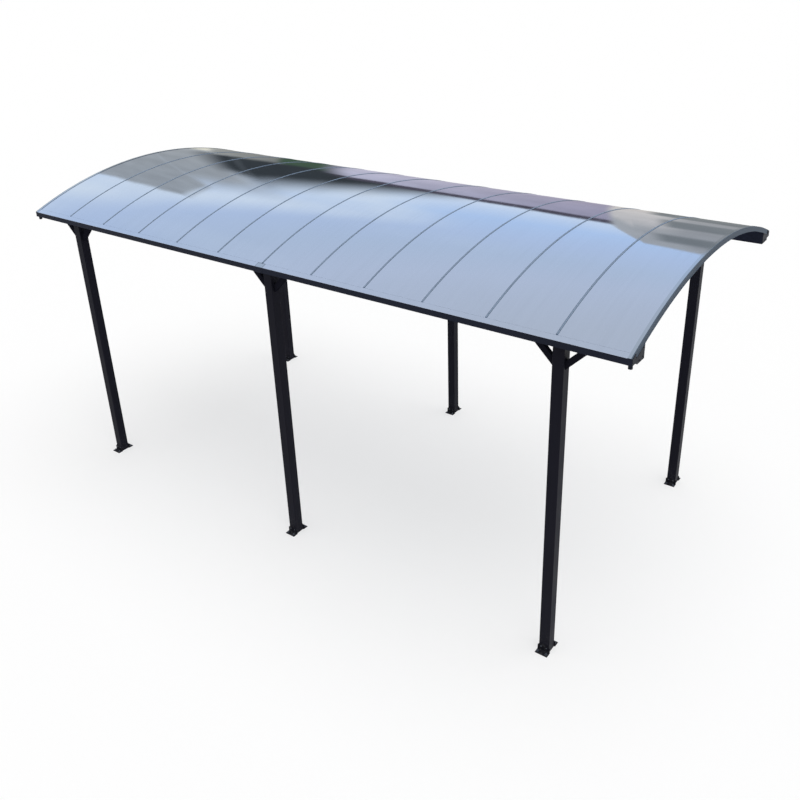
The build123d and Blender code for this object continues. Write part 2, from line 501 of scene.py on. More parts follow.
@dataclass(frozen=True)
class PlatedSteel:
    """Dark zinc-plated steel: crystal clouds in its shine and a little tarnish."""

    name: str
    colour: Colour = (0.17, 0.18, 0.21)
    tarnish: Colour = (0.06, 0.06, 0.07)
    metal: float = 0.9
    roughness: Pair = (0.24, 0.47)
    crystal_grain: float = 0.004
    crystal_depth: float = 0.00008
    worn_from: Pair = (0.45, 0.75)
    worn_share: float = 0.7

    def material(self) -> Material:
        """Build the plating.

        Returns:
            The new material.
        """
        material, graph = new_material(self.name)
        place = graph.places()
        crystal = graph.noise(place, self.crystal_grain, detail=4)
        worn = graph.span(crystal, *self.worn_from, 0.0, self.worn_share)
        graph.surface(
            Base_Color=graph.blend(worn, scaled(self.colour), scaled(self.tarnish)),
            Metallic=self.metal,
            Roughness=graph.span(crystal, *NOISE_MIDDLE, *self.roughness),
            Normal=graph.bump(crystal, self.crystal_depth),
        )
        return material


@dataclass(frozen=True)
class Finishes:
    """All finishes of the carport, as materials."""

    frame_coat: Material
    brace_coat: Material
    gutter_coat: Material
    cover_coat: Material
    rib_coat: Material
    strip_coat: Material
    foot_coat: Material
    cap_plastic: Material
    sheet: Material
    rubber: Material
    plating: Material

    @classmethod
    def made(cls) -> "Finishes":
        """Make every material once.

        Returns:
            The finishes.
        """
        return cls(
            frame_coat=PowderCoat("post_powder_coat", POST_TONE).material(),
            brace_coat=PowderCoat("brace_powder_coat", BRACE_TONE, roughness=0.7, gloss=0.0).material(),
            gutter_coat=PowderCoat("gutter_powder_coat", GUTTER_TONE).material(),
            # Joint covers and end ribs get a painted sheen on their tops.
            cover_coat=SheenPaintedCoat("joint_cover_coat", GUTTER_TONE).material(),
            rib_coat=SheenPaintedCoat("rib_powder_coat", RIB_TONE).material(),
            strip_coat=PowderCoat(
                "cap_strip_coat", STRIP_TONE, roughness=0.55, gloss=0.5, metal=0.5, dust_share=0.0
            ).material(),
            foot_coat=PowderCoat("foot_powder_coat", FOOT_TONE, roughness=0.5).material(),
            cap_plastic=MouldedPlastic("end_cap_plastic", CAP_TONE).material(),
            sheet=MirrorSheet("mirror_roof_sheet").material(),
            rubber=MouldedPlastic("seal_rubber", RUBBER_TONE, roughness=0.6).material(),
            plating=PlatedSteel("zinc_plating").material(),
        )

    def of_node(self, node: str, slot: Slot) -> Material:
        """The material of a node: strips, joint covers and braces have their own, others go by slot.

        Args:
            node: Name of the node.
            slot: Its record slot.

        Returns:
            The node's material.
        """
        own = {CAP_STRIPS: self.strip_coat, JOINT_COVER: self.cover_coat, BRACES: self.brace_coat}
        found = [material for start, material in own.items() if node.startswith(start)]
        return found[0] if found else self.of_slot(slot)

    def of_slot(self, slot: Slot) -> Material:
        """The material that a record slot gets.

        Args:
            slot: The record slot.

        Returns:
            The slot's material.
        """
        return {
            Slot.FRAME: self.frame_coat,
            Slot.GUTTER: self.gutter_coat,
            Slot.RIB: self.rib_coat,
            Slot.FOOT: self.foot_coat,
            Slot.CAP: self.cap_plastic,
            Slot.SHEET: self.sheet,
        }[slot]


class MeshDraft:
    """Points and faces of one piece, gathered before its mesh is made."""

    def __init__(self, name: str) -> None:
        """Start an empty draft.

        Args:
            name: Name of the piece.
        """
        self.name = name
        self.points: list[Vector] = []
        self.faces: list[tuple[int, ...]] = []

    def tube(self, loops: Sequence[Sequence[Vector]]) -> None:
        """Join loops of equal length into a closed body.

        Args:
            loops: Rings of points from one end of the body to the other.
        """
        count = len(loops[0])
        first = len(self.points)
        for loop in loops:
            self.points.extend(loop)
        last = len(self.points) - count
        for start in range(first, last, count):
            for index in range(count):
                after = (index + 1) % count
                near, far = start + index, start + after
                self.faces.append((near, far, far + count, near + count))
        self.faces.append(tuple(range(first + count - 1, first - 1, -1)))
        self.faces.append(tuple(range(last, last + count)))

    def turned(self, profile: Sequence[Pair], place: Matrix, sides: int) -> None:
        """Add a turned body, or a prism where it has few sides.

        Args:
            profile: Pairs of radius and height along its own axis.
            place: Where its foot stands and where its axis points.
            sides: Number of sides.
        """
        turns = [FULL_TURN * step / sides for step in range(sides)]
        self.tube(
            [
                [place @ Vector((radius * math.cos(a), radius * math.sin(a), rise)) for a in turns]
                for radius, rise in profile
            ]
        )

    def piece(self, material: Material, slot: Slot) -> bpy.types.Object:
        """Make the piece and let it ride on the carport.

        Args:
            material: Its finish.
            slot: The record slot of its finish; not used.

        Returns:
            The new object.
        """
        mesh = bpy.data.meshes.new(self.name)
        mesh.from_pydata([tuple(point) for point in self.points], [], self.faces)
        shaper = bmesh.new()
        shaper.from_mesh(mesh)
        bmesh.ops.recalc_face_normals(shaper, faces=shaper.faces)
        shaper.to_mesh(mesh)
        shaper.free()
        mesh.polygons.foreach_set("use_smooth", [True] * len(mesh.polygons))
        mesh.set_sharp_from_angle(angle=SHARP_EDGE)
        mesh.materials.append(material)
        made = placed(self.name, mesh)
        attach(made, BODY)
        log.info("piece %s with %d faces", self.name, len(mesh.polygons))
        return made


@dataclass(frozen=True)
class Arch:
    """The circle that the underside of the roof sheets follows."""

    centre_height: float
    radius: float
    sheet_angle: float

    @classmethod
    def under_sheet(cls, node: str, thickness: float) -> "Arch":
        """Find the arch from the box of one roof sheet.

        Args:
            node: Name of a roof sheet.
            thickness: Thickness of the sheet.

        Returns:
            The arch of its underside.
        """
        low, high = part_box(node)
        angle = 0.0
        for _ in range(FIT_ROUNDS):
            rise = high.z - low.z - thickness * math.cos(angle)
            angle = 2 * math.atan(rise / high.y)
        outer = high.y / math.sin(angle)
        return cls(high.z - outer, outer - thickness, angle)

    def point(self, x: float, angle: float, lift: float = 0.0) -> Vector:
        """The point at an X and an angle from the ridge towards the back, lifted off the arch."""
        reach = self.radius + lift
        return Vector((x, reach * math.sin(angle), self.centre_height + reach * math.cos(angle)))

    def angle_at(self, y: float, lift: float = 0.0) -> float:
        """The angle at which a lifted arch has a given Y."""
        return math.asin(y / (self.radius + lift))

    def place(self, x: float, angle: float, lift: float) -> Matrix:
        """A frame at such a point, with its Z pointing outwards."""
        turn = Matrix.Rotation(-angle, 4, "X")
        return Matrix.Translation(self.point(x, angle, lift)) @ turn

    def bead(
        self, draft: MeshDraft, section: Sequence[Pair], start: float, stop: float, steps: int
    ) -> None:
        """Sweep a section, in pairs of X and lift, from one angle to another in straight steps."""
        angles = [start + (stop - start) * step / steps for step in range(steps + 1)]
        draft.tube([[self.point(x, a, lift) for x, lift in section] for a in angles])


@dataclass
class CadDress:
    """Gives every solid of the frame its finish and soft edges."""

    finishes: Finishes
    edge_round: float = 0.0009
    weld_reach: float = 0.00002
    edge_steps: int = 2

    def dress(self) -> None:
        """Dress each node by its slot in the record."""
        for part in frame["record"]["subparts"]:
            self.dress_node(part["node"], Slot(part["material_slot"]))

    def dress_node(self, node: str, slot: Slot) -> None:
        """Dress one node.

        Args:
            node: Name of the node.
            slot: Its record slot.
        """
        solid = frame["nodes"][node]
        for place in solid.material_slots:
            place.material = self.finishes.of_node(node, slot)
        weld = solid.modifiers.new("closed_seams", "WELD")
        weld.merge_threshold = self.weld_reach
        soft = solid.modifiers.new("soft_edges", "BEVEL")
        soft.width = self.edge_round
        soft.segments = self.edge_steps
        soft.limit_method = "ANGLE"
        soft.angle_limit = SHARP_EDGE
        solid.modifiers.new("even_shading", "WEIGHTED_NORMAL").keep_sharp = True
        log.info("node %s in %s", node, slot.value)


@dataclass
class RoofSheets:
    """The curved sheets, each drawn smooth with a slight swell between its ribs."""

    finishes: Finishes
    arch: Arch
    thickness: float
    count: int = 12
    arc_steps: int = 96
    bay_steps: int = 10
    swell: float = 0.0009
    ripple: float = 0.00025
    ripples: float = 2.5
    swell_change: float = 0.3
    swell_turn: float = 2.3
    ripple_turn: float = 0.31

    def node(self, number: int) -> str:
        """Name of a sheet's node, counted from 1."""
        return f"roof_sheet_{number:02d}"

    def rib_places(self) -> list[float]:
        """X of the inner ribs, midway between neighbouring sheets."""
        boxes = [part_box(self.node(number + 1)) for number in range(self.count)]
        return [(left[1].x + right[0].x) / 2 for left, right in zip(boxes, boxes[1:])]

    def bulge(self, number: int, across: float, along: float) -> float:
        """Lift of a sheet's face, none at its edges.

        Args:
            number: The sheet's number.
            across: Share of the way across the bay.
            along: Share of the way along the arc.

        Returns:
            The lift.
        """
        held = math.sin(HALF_TURN * across) * math.sqrt(math.sin(HALF_TURN * along))
        strength = 1.0 - self.swell_change + self.swell_change * math.sin(self.swell_turn * number)
        wave = math.sin(FULL_TURN * (self.ripples * along + self.ripple_turn * number))
        return held * (self.swell * strength + self.ripple * wave)

    def layer(self, number: int, lift: float) -> list[Vector]:
        """Grid points of one face of a sheet.

        Args:
            number: The sheet's number.
            lift: Height of the face over the arch.

        Returns:
            Points row by row, from the front to the back.
        """
        low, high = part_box(self.node(number))
        points = []
        for row in range(self.arc_steps + 1):
            along = row / self.arc_steps
            angle = (2 * along - 1) * self.arch.sheet_angle
            for column in range(self.bay_steps + 1):
                across = column / self.bay_steps
                x = low.x + (high.x - low.x) * across
                points.append(self.arch.point(x, angle, lift + self.bulge(number, across, along)))
        return points

    def build(self) -> None:
        """Build every sheet over its node."""
        wide, rows = self.bay_steps + 1, self.arc_steps
        for number in range(1, self.count + 1):
            draft = MeshDraft(f"curved_sheet_{number:02d}")
            lower, upper = self.layer(number, 0.0), self.layer(number, self.thickness)
            shift = len(lower)
            draft.points = lower + upper
            for cell in grid_faces(self.bay_steps, rows):
                draft.faces.append(cell)
                draft.faces.append(tuple(shift + index for index in reversed(cell)))
            rim = list(range(wide)) + [row * wide + wide - 1 for row in range(1, rows + 1)]
            rim += [rows * wide + column for column in range(self.bay_steps - 1, -1, -1)]
            rim += [row * wide for row in range(rows - 1, 0, -1)]
            for near, far in zip(rim, rim[1:] + rim[:1]):
                draft.faces.append((near, near + shift, far + shift, far))
            sheet = draft.piece(self.finishes.sheet, Slot.SHEET)
            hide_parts(self.node(number))


@dataclass(frozen=True)
class FlangeScrew:
    """A screw head with a hexagon on a round flange."""

    flange_radius: float = 0.0065
    flange_height: float = 0.0014
    hex_radius: float = 0.0046
    hex_height: float = 0.0045
    edge: float = 0.0006
    hex_bevel: float = 0.0009
    sides: int = 20

    def draw(self, draft: MeshDraft, place: Matrix) -> None:
        """Draw the head.

        Args:
            draft: Draft that takes it.
            place: Where its flange sits, with Z outwards.
        """
        flange = (
            (self.flange_radius, 0.0),
            (self.flange_radius, self.flange_height - self.edge),
            (self.flange_radius - self.edge, self.flange_height),
            (self.hex_radius, self.flange_height),
        )
        draft.turned(flange, place, self.sides)
        head = (
            (self.hex_radius, 0.0),
            (self.hex_radius, self.hex_height - self.edge),
            (self.hex_radius - self.hex_bevel, self.hex_height),
        )
        draft.turned(head, place, HEXAGON)


@dataclass(frozen=True)
class AnchorBolt:
    """A ground anchor: washer, hexagon nut and the end of its stud."""

    washer_radius: float = 0.0125
    washer_height: float = 0.0022
    nut_radius: float = 0.0096
    nut_height: float = 0.0084
    stud_radius: float = 0.0050
    stud_rise: float = 0.0075
    edge: float = 0.0009
    washer_side: float = 0.00154
    washer_sides: int = 28
    stud_sides: int = 16

    def draw(self, draft: MeshDraft, place: Matrix, sunk: float) -> None:
        """Draw the anchor.

        Args:
            draft: Draft that takes it.
            place: Where its washer sits, with Z outwards.
            sunk: How far its stud goes down through the foot.
        """
        washer = (
            (self.washer_radius, 0.0),
            (self.washer_radius, self.washer_side),
            (self.washer_radius - self.edge, self.washer_height),
        )
        draft.turned(washer, place, self.washer_sides)
        top = self.washer_height + self.nut_height
        nut = (
            (self.nut_radius - self.edge, self.washer_height),
            (self.nut_radius, self.washer_height + self.edge),
            (self.nut_radius, top - self.edge),
            (self.nut_radius - self.edge, top),
        )
        draft.turned(nut, place, HEXAGON)
        stud = (
            (self.stud_radius, -sunk),
            (self.stud_radius, top + self.stud_rise - self.edge),
            (self.stud_radius - self.edge, top + self.stud_rise),
        )
        draft.turned(stud, place, self.stud_sides)


def facing(point: Vector, outward: Vector) -> Matrix:
    """A frame at a point, with its Z pointing outwards."""
    turn = outward.to_track_quat("Z", "Y").to_matrix().to_4x4()
    return Matrix.Translation(point) @ turn


@dataclass
class FootFixings:
    """Ground anchors and post screws of the six feet."""

    finishes: Finishes
    plate: float = 0.006
    screw_height: float = 0.046
    screw_spread: float = 0.026
    fit_gap: float = 0.0003
    anchor: AnchorBolt = AnchorBolt()
    screw: FlangeScrew = FlangeScrew()

    def holes(self) -> Iterator[tuple[Side, Vector]]:
        """Centres of all foot holes, the back ones mirrored from the stated front ones.

        Returns:
            The eave and the centre of each hole.
        """
        for mount in frame["record"]["mounts"]:
            if mount["kind"] != "bolt_pattern":
                continue
            along = mount["dims"]["spacing_x_mm"] * MILLIMETRE / 2
            across = mount["dims"]["spacing_y_mm"] * MILLIMETRE / 2
            middle = Vector(mount["pos_m"])
            for side in Side:
                row = abs(middle.y) * side.value
                for x in (-along, along):
                    for y in (-across, across):
                        yield side, Vector((middle.x + x, row + y, 0.0))

    def build(self) -> None:
        """Build the anchors of each eave and the screws of each eave."""
        anchors = {side: MeshDraft(f"ground_anchors_{side.word}") for side in Side}
        screws = {side: MeshDraft(f"foot_screws_{side.word}") for side in Side}
        for side, hole in self.holes():
            seat = hole + Vector((0.0, 0.0, self.plate))
            self.anchor.draw(anchors[side], Matrix.Translation(seat), self.plate)
        for side in Side:
            for column in Column:
                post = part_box(f"post_{side.word}_{column.word}")
                middle = (post[0].x + post[1].x) / 2
                for outward in (-1, 1):
                    y = side_of(post, "y", outward) + outward * (self.plate + self.fit_gap)
                    for x in (-self.screw_spread, self.screw_spread):
                        seat = Vector((middle + x, y, self.screw_height))
                        self.screw.draw(screws[side], facing(seat, Vector((0, outward, 0))))
            anchors[side].piece(self.finishes.plating, Slot.FOOT)
            screws[side].piece(self.finishes.plating, Slot.FOOT)


@dataclass
class BraceScrews:
    """Screws that pin both ends of every knee brace."""

    finishes: Finishes
    tube: float = 0.052
    end_inset: float = 0.034
    screw: FlangeScrew = FlangeScrew()

    def build(self) -> None:
        """Build the screws of each eave as one piece."""
        for side in Side:
            draft = MeshDraft(f"brace_screws_{side.word}")
            for column in Column:
                self.draw_pair(draft, side, column)
            draft.piece(self.finishes.frame_coat, Slot.FRAME)

    def draw_pair(self, draft: MeshDraft, side: Side, column: Column) -> None:
        """Draw the screws of one pair of braces, on both faces.

        Args:
            draft: Draft that takes them.
            side: The eave.
            column: The post.
        """
        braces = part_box(f"brace_pair_{side.word}_{column.word}")
        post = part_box(f"post_{side.word}_{column.word}")
        half_mitre = self.tube / math.sqrt(2)
        step = self.end_inset / math.sqrt(2)
        for outward in (-1, 1):
            face = side_of(braces, "y", outward)
            for hand in (-1, 1):
                wall, tip = side_of(post, "x", hand), side_of(braces, "x", hand)
                lower = Vector((wall + hand * step, face, braces[0].z + half_mitre + step))
                upper = Vector((tip - hand * (half_mitre + step), face, braces[1].z - step))
                for seat in (lower, upper):
                    self.screw.draw(draft, facing(seat, Vector((0, outward, 0))))


@dataclass
class RibSeals:
    """Rubber beads along the cap strips, end plugs and end screws of the strips."""

    finishes: Finishes
    arch: Arch
    sheets: RoofSheets
    bead_width: float = 0.0010
    bead_height: float = 0.0014
    bead_shape: tuple[Pair, ...] = ((0.0, 0.0), (1.0, 0.0), (0.95, 0.45), (0.6, 0.9), (0.0, 1.0))
    arc_steps: int = 64
    plug_length: float = 0.006
    plug_margin: float = 0.0006
    plug_steps: int = 2
    screw_inset: float = 0.045
    screw: FlangeScrew = FlangeScrew(0.0042, 0.0010, 0.0031, 0.0024)

    def build(self) -> None:
        """Build the seals, the plugs and the screws."""
        seals = MeshDraft("rib_seals")
        plugs = MeshDraft("rib_cap_plugs")
        screws = MeshDraft("rib_cap_screws")
        low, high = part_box(CAP_STRIPS)
        ridge = self.arch.centre_height + self.arch.radius
        top = high.z - ridge
        places = self.sheets.rib_places()
        half = places[0] - low.x
        end = self.arch.angle_at(high.y, top)
        for x in places:
            for hand in (-1, 1):
                self.arch.bead(seals, self.bead_section(x, half, hand), -end, end, self.arc_steps)
                self.draw_plug(plugs, x, half, top, hand * end)
                inset = hand * (end - self.screw_inset / self.arch.radius)
                self.screw.draw(screws, self.arch.place(x, inset, top))
        seals.piece(self.finishes.rubber, Slot.RIB)
        plugs.piece(self.finishes.strip_coat, Slot.RIB)
        screws.piece(self.finishes.strip_coat, Slot.RIB)

    def bead_section(self, x: float, half: float, hand: int) -> list[Pair]:
        """Section of one bead beside a cap strip.

        Args:
            x: Place of the rib.
            half: Half the width of its strip.
            hand: Side of the strip, -1 or 1.

        Returns:
            Pairs of X and lift.
        """
        seat = self.sheets.thickness
        inner = x + hand * half
        return [
            (inner + hand * self.bead_width * out, seat + self.bead_height * up)
            for out, up in self.bead_shape
        ]

    def draw_plug(self, draft: MeshDraft, x: float, half: float, top: float, end: float) -> None:
        """Draw the plug that closes one end of a strip.

        Args:
            draft: Draft that takes it.
            x: Place of the rib.
            half: Half the width of its strip.
            top: Lift of the strip's top.
            end: Angle at which the strip ends.
        """
        wide = half + self.plug_margin
        seat, crest = self.sheets.thickness, top + self.plug_margin
        section = [(x - wide, seat), (x + wide, seat), (x + wide, crest), (x - wide, crest)]
        past = end + math.copysign(self.plug_length / self.arch.radius, end)
        self.arch.bead(draft, section, end, past, self.plug_steps)


@dataclass
class GutterTrim:
    """Bright strips on the gutter lips and the fixings of covers and end plates."""

    finishes: Finishes
    arch: Arch
    sheet_thickness: float
    lip_slot: float = 0.002
    strip_height: float = 0.0012
    strip_gap: float = 0.0003
    strip_steps: int = 6
    cover_gap: float = 0.003
    flange_width: float = 0.036
    rivet_spread: float = 0.028
    rivet_shares: Pair = (0.25, 0.72)
    rivet: FlangeScrew = FlangeScrew(0.0048, 0.0012, 0.0034, 0.0024)
    plate_inset: float = 0.020
    plate_step: float = 0.072
    screw: FlangeScrew = FlangeScrew()

    def build(self) -> None:
        """Build the trim of both eaves and the screws of both ends."""
        for side in Side:
            rivets = MeshDraft(f"joint_cover_rivets_{side.word}")
            self.draw_rivets(rivets, side)
            rivets.piece(self.finishes.gutter_coat, Slot.GUTTER)
            for end in End:
                strip = MeshDraft(f"lip_strip_{side.word}_{end.word}")
                self.draw_strip(strip, side, end)
                strip.piece(self.finishes.sheet, Slot.SHEET)
        for end in End:
            screws = MeshDraft(f"end_plate_screws_{end.word}")
            for side in Side:
                self.draw_plate_screws(screws, side, end)
            screws.piece(self.finishes.frame_coat, Slot.CAP)

    def draw_strip(self, draft: MeshDraft, side: Side, end: End) -> None:
        """Draw the strip on one length of lip, from the joint cover to the end rib's flange.

        Args:
            draft: Draft that takes it.
            side: The eave.
            end: The half of the eave.
        """
        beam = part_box(f"gutter_beam_{side.word}_{end.word}")
        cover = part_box(f"gutter_joint_{side.word}")
        seat = self.sheet_thickness + self.strip_gap
        top = seat + self.strip_height
        inner = self.arch.angle_at(side.value * (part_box(PLAIN_SHEET)[1].y + self.lip_slot), seat)
        outer = self.arch.angle_at(side_of(beam, "y", side.value), seat)
        shares = [step / self.strip_steps for step in range(self.strip_steps + 1)]
        angles = [inner + (outer - inner) * share for share in shares]
        near = side_of(cover, "x", end.value) + end.value * self.cover_gap
        far = side_of(beam, "x", end.value) - end.value * self.flange_width
        draft.tube(
            [
                [self.arch.point(x, a, seat) for a in angles]
                + [self.arch.point(x, a, top) for a in reversed(angles)]
                for x in (near, far)
            ]
        )

    def draw_rivets(self, draft: MeshDraft, side: Side) -> None:
        """Draw the rivets of one joint cover.

        Args:
            draft: Draft that takes them.
            side: The eave.
        """
        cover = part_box(f"gutter_joint_{side.word}")
        face, foot = side_of(cover, "y", side.value), cover[0].z
        lip = self.arch.point(0.0, self.arch.angle_at(face, self.sheet_thickness)).z
        outward = Vector((0, side.value, 0))
        for x in (-self.rivet_spread, self.rivet_spread):
            for share in self.rivet_shares:
                height = foot + (lip - foot) * share
                self.rivet.draw(draft, facing(Vector((x, face, height)), outward))

    def draw_plate_screws(self, draft: MeshDraft, side: Side, end: End) -> None:
        """Draw the screws of one end plate: two at its inner edge and one under the rib's end.

        Args:
            draft: Draft that takes them.
            side: The eave.
            end: The roof end.
        """
        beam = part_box(f"gutter_beam_{side.word}_{end.word}")
        face = side_of(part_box(f"gutter_end_caps_{end.word}"), "x", end.value)
        inner = abs(side_of(beam, "y", -side.value)) + self.plate_inset
        bottom = beam[0].z + self.plate_inset
        places = (
            (inner, bottom),
            (inner, bottom + self.plate_step),
            (inner + self.plate_step, bottom),
        )
        for across, height in places:
            seat = Vector((face, side.value * across, height))
            self.screw.draw(draft, facing(seat, Vector((end.value, 0, 0))))


@dataclass(frozen=True)
class ToneCard:
    """A soft-edged card standing behind the roof, which only mirrored rays meet.

    Its sides are X places, left and right. Its tops are the heights of its two upper corners, and
    its foot is a height too. Each fade is the width over which an edge melts into what stands
    behind it.
    """

    name: str
    sides: Pair
    tops: Pair
    tone: Colour
    right_tone: Colour | None = None
    foot: float = 0.0
    side_fades: Pair = (0.5, 0.5)
    top_fade: float = 0.8
    foot_fade: float = 0.0
    edge_tone: Colour = (0.0, 0.0, 0.0)
    edge_height: float = 0.0
    columns: int = 16
    rows: int = 8
    mottle: float = 0.10
    mottle_grain: float = 1.4

    def mesh(self, y: float) -> bpy.types.Mesh:
        """Build the card as a grid whose UV runs from its lower left to its upper right corner.

        Args:
            y: Where the card stands.

        Returns:
            The new mesh.
        """
        points, places = [], []
        (left, right), (top_left, top_right) = self.sides, self.tops
        for row in range(self.rows + 1):
            for column in range(self.columns + 1):
                u, v = column / self.columns, row / self.rows
                x = left + (right - left) * u
                top = top_left + (top_right - top_left) * u
                points.append((x, y, self.foot + (top - self.foot) * v))
                places.append((u, v))
        mesh = bpy.data.meshes.new(self.name)
        mesh.from_pydata(points, [], grid_faces(self.columns, self.rows))
        layer = mesh.uv_layers.new(name="UVMap")
        for loop in mesh.loops:
            layer.data[loop.index].uv = places[loop.vertex_index]
        return mesh

    def material(self) -> Material:
        """Build the card's glow, clear beyond its faded edges.

        Returns:
            The new material.
        """
        material, graph = new_material(f"{self.name}_tone")
        parts = graph.add("SeparateXYZ", {0: graph.add("TexCoord").outputs["UV"]}).outputs
        across, up = parts["X"], parts["Y"]
        width = self.sides[1] - self.sides[0]
        height = sum(self.tops) / 2 - self.foot
        left_fade, right_fade = (fade / width for fade in self.side_fades)
        top_fade, foot_fade = self.top_fade / height, self.foot_fade / height
        edges = [
            graph.span(across, 0.0, left_fade, 0.0, 1.0, soft=True),
            graph.span(across, 1.0 - right_fade, 1.0, 1.0, 0.0, soft=True),
            graph.span(up, 1.0 - top_fade, 1.0, 1.0, 0.0, soft=True),
        ]
        if self.foot_fade:
            edges.append(graph.span(up, 0.0, foot_fade, 0.0, 1.0, soft=True))
        shown = edges[0]
        for edge in edges[1:]:
            shown = graph.math("MULTIPLY", shown, edge)
        colour = graph.blend(across, scaled(self.tone), scaled(self.right_tone or self.tone))
        if self.edge_height:
            rim = self.edge_height / height
            start, stop = 1.0 - top_fade - 2 * rim, 1.0 - top_fade - rim
            near_top = graph.span(up, start, stop, 0.0, 1.0, soft=True)
            colour = graph.blend(near_top, colour, scaled(self.edge_tone))
        cloud = graph.noise(graph.places(), self.mottle_grain, detail=4)
        strength = graph.span(cloud, *NOISE_MIDDLE, 1.0 - self.mottle, 1.0 + self.mottle)
        glow = graph.add("Emission", {"Color": colour, "Strength": strength})
        clear = graph.add("BsdfTransparent")
        both = graph.add("MixShader", {0: shown, 1: clear.outputs[0], 2: glow.outputs[0]})
        graph.add("OutputMaterial", {"Surface": both.outputs[0]})
        return material

    def build(self, y: float) -> None:
        """Build the card as stage.

        Args:
            y: Where the card stands.
        """
        mesh = self.mesh(y)
        mesh.materials.append(self.material())
        card = placed(self.name, mesh)
        for ray in ("camera", "diffuse", "transmission", "volume_scatter", "shadow"):
            setattr(card, f"visible_{ray}", False)


GREY_WALL: Colour = (0.41, 0.427, 0.432)
DARK_HEDGE: Colour = (0.030, 0.037, 0.041)
GREEN_HEDGE: Colour = (0.055, 0.097, 0.060)
MAUVE_LIGHT: Colour = (0.58, 0.565, 0.68)
MAUVE_DEEP: Colour = (0.38, 0.35, 0.45)
MAUVE_EDGE: Colour = (0.075, 0.065, 0.090)
PALE_STONE: Colour = (0.81, 0.78, 0.655)
DULL_STONE: Colour = (0.38, 0.385, 0.36)
DARK_STONE: Colour = (0.20, 0.205, 0.195)
BEIGE_WALL: Colour = (0.65, 0.615, 0.585)
BEIGE_EDGE: Colour = (0.46, 0.46, 0.455)
BEIGE_SHADE: Colour = (0.40, 0.40, 0.40)
WINDOW_BAND: Colour = (0.235, 0.25, 0.252)

CARDS = (
    ToneCard(
        "card_wall_far", sides=(-36.0, -17.7), tops=(7.0, 13.7), tone=GREY_WALL, side_fades=(0.5, 0.01)
    ),
    ToneCard(
        "card_wall_near", sides=(-17.71, -14.2), tops=(13.7, 10.5), tone=GREY_WALL,
        side_fades=(0.01, 0.6), top_fade=0.7,
    ),
    ToneCard(
        "card_wall_low", sides=(-14.8, -10.2), tops=(11.6, 11.0), tone=GREY_WALL,
        side_fades=(0.4, 2.2), top_fade=3.2,
    ),
    ToneCard(
        "card_hedge_low", sides=(-13.0, -10.5), tops=(8.0, 8.0), tone=DARK_HEDGE,
        foot=3.6, side_fades=(1.7, 0.8), top_fade=1.5, foot_fade=0.8,
    ),
    ToneCard(
        "card_hedge", sides=(-11.9, -3.2), tops=(10.2, 5.7), tone=DARK_HEDGE,
        side_fades=(1.2, 1.5), top_fade=2.4,
    ),
    ToneCard("card_pale_foot", sides=(-14.4, -11.5), tops=(3.9, 3.9), tone=PALE_STONE),
    ToneCard(
        "card_dull_foot", sides=(-12.0, -8.9), tops=(4.4, 4.4), tone=DULL_STONE, right_tone=DARK_STONE
    ),
    ToneCard("card_green", sides=(-9.5, -7.4), tops=(4.4, 4.4), tone=GREEN_HEDGE),
    ToneCard(
        "card_mauve", sides=(-8.0, -0.40), tops=(5.1, 5.87), tone=MAUVE_LIGHT, right_tone=MAUVE_DEEP,
        side_fades=(1.2, 0.2), top_fade=0.3, edge_tone=MAUVE_EDGE, edge_height=0.22,
    ),
    ToneCard(
        "card_beige_low", sides=(-0.72, -0.14), tops=(5.69, 7.55), tone=BEIGE_WALL,
        side_fades=(0.25, 0.01), top_fade=0.3, edge_tone=BEIGE_EDGE, edge_height=1.0,
    ),
    ToneCard(
        "card_beige", sides=(-0.15, 2.8), tops=(7.55, 8.25), tone=BEIGE_WALL,
        side_fades=(0.01, 0.5), top_fade=0.3, edge_tone=BEIGE_EDGE, edge_height=1.5,
    ),
    ToneCard("card_shade", sides=(0.2, 2.8), tops=(7.4, 8.0), tone=BEIGE_SHADE, side_fades=(0.8, 0.5)),
    ToneCard(
        "card_band_low", sides=(0.05, 2.8), tops=(3.1, 3.1), tone=WINDOW_BAND,
        side_fades=(0.4, 0.5), top_fade=0.3,
    ),
    ToneCard(
        "card_band_middle", sides=(0.30, 2.8), tops=(4.95, 4.95), tone=WINDOW_BAND,
        foot=3.5, side_fades=(0.4, 0.5), top_fade=0.3, foot_fade=0.3,
    ),
    ToneCard(
        "card_band_high", sides=(0.0, 2.8), tops=(6.95, 6.95), tone=WINDOW_BAND,
        foot=5.7, side_fades=(0.5, 0.5), top_fade=0.35, foot_fade=0.35,
    ),
)


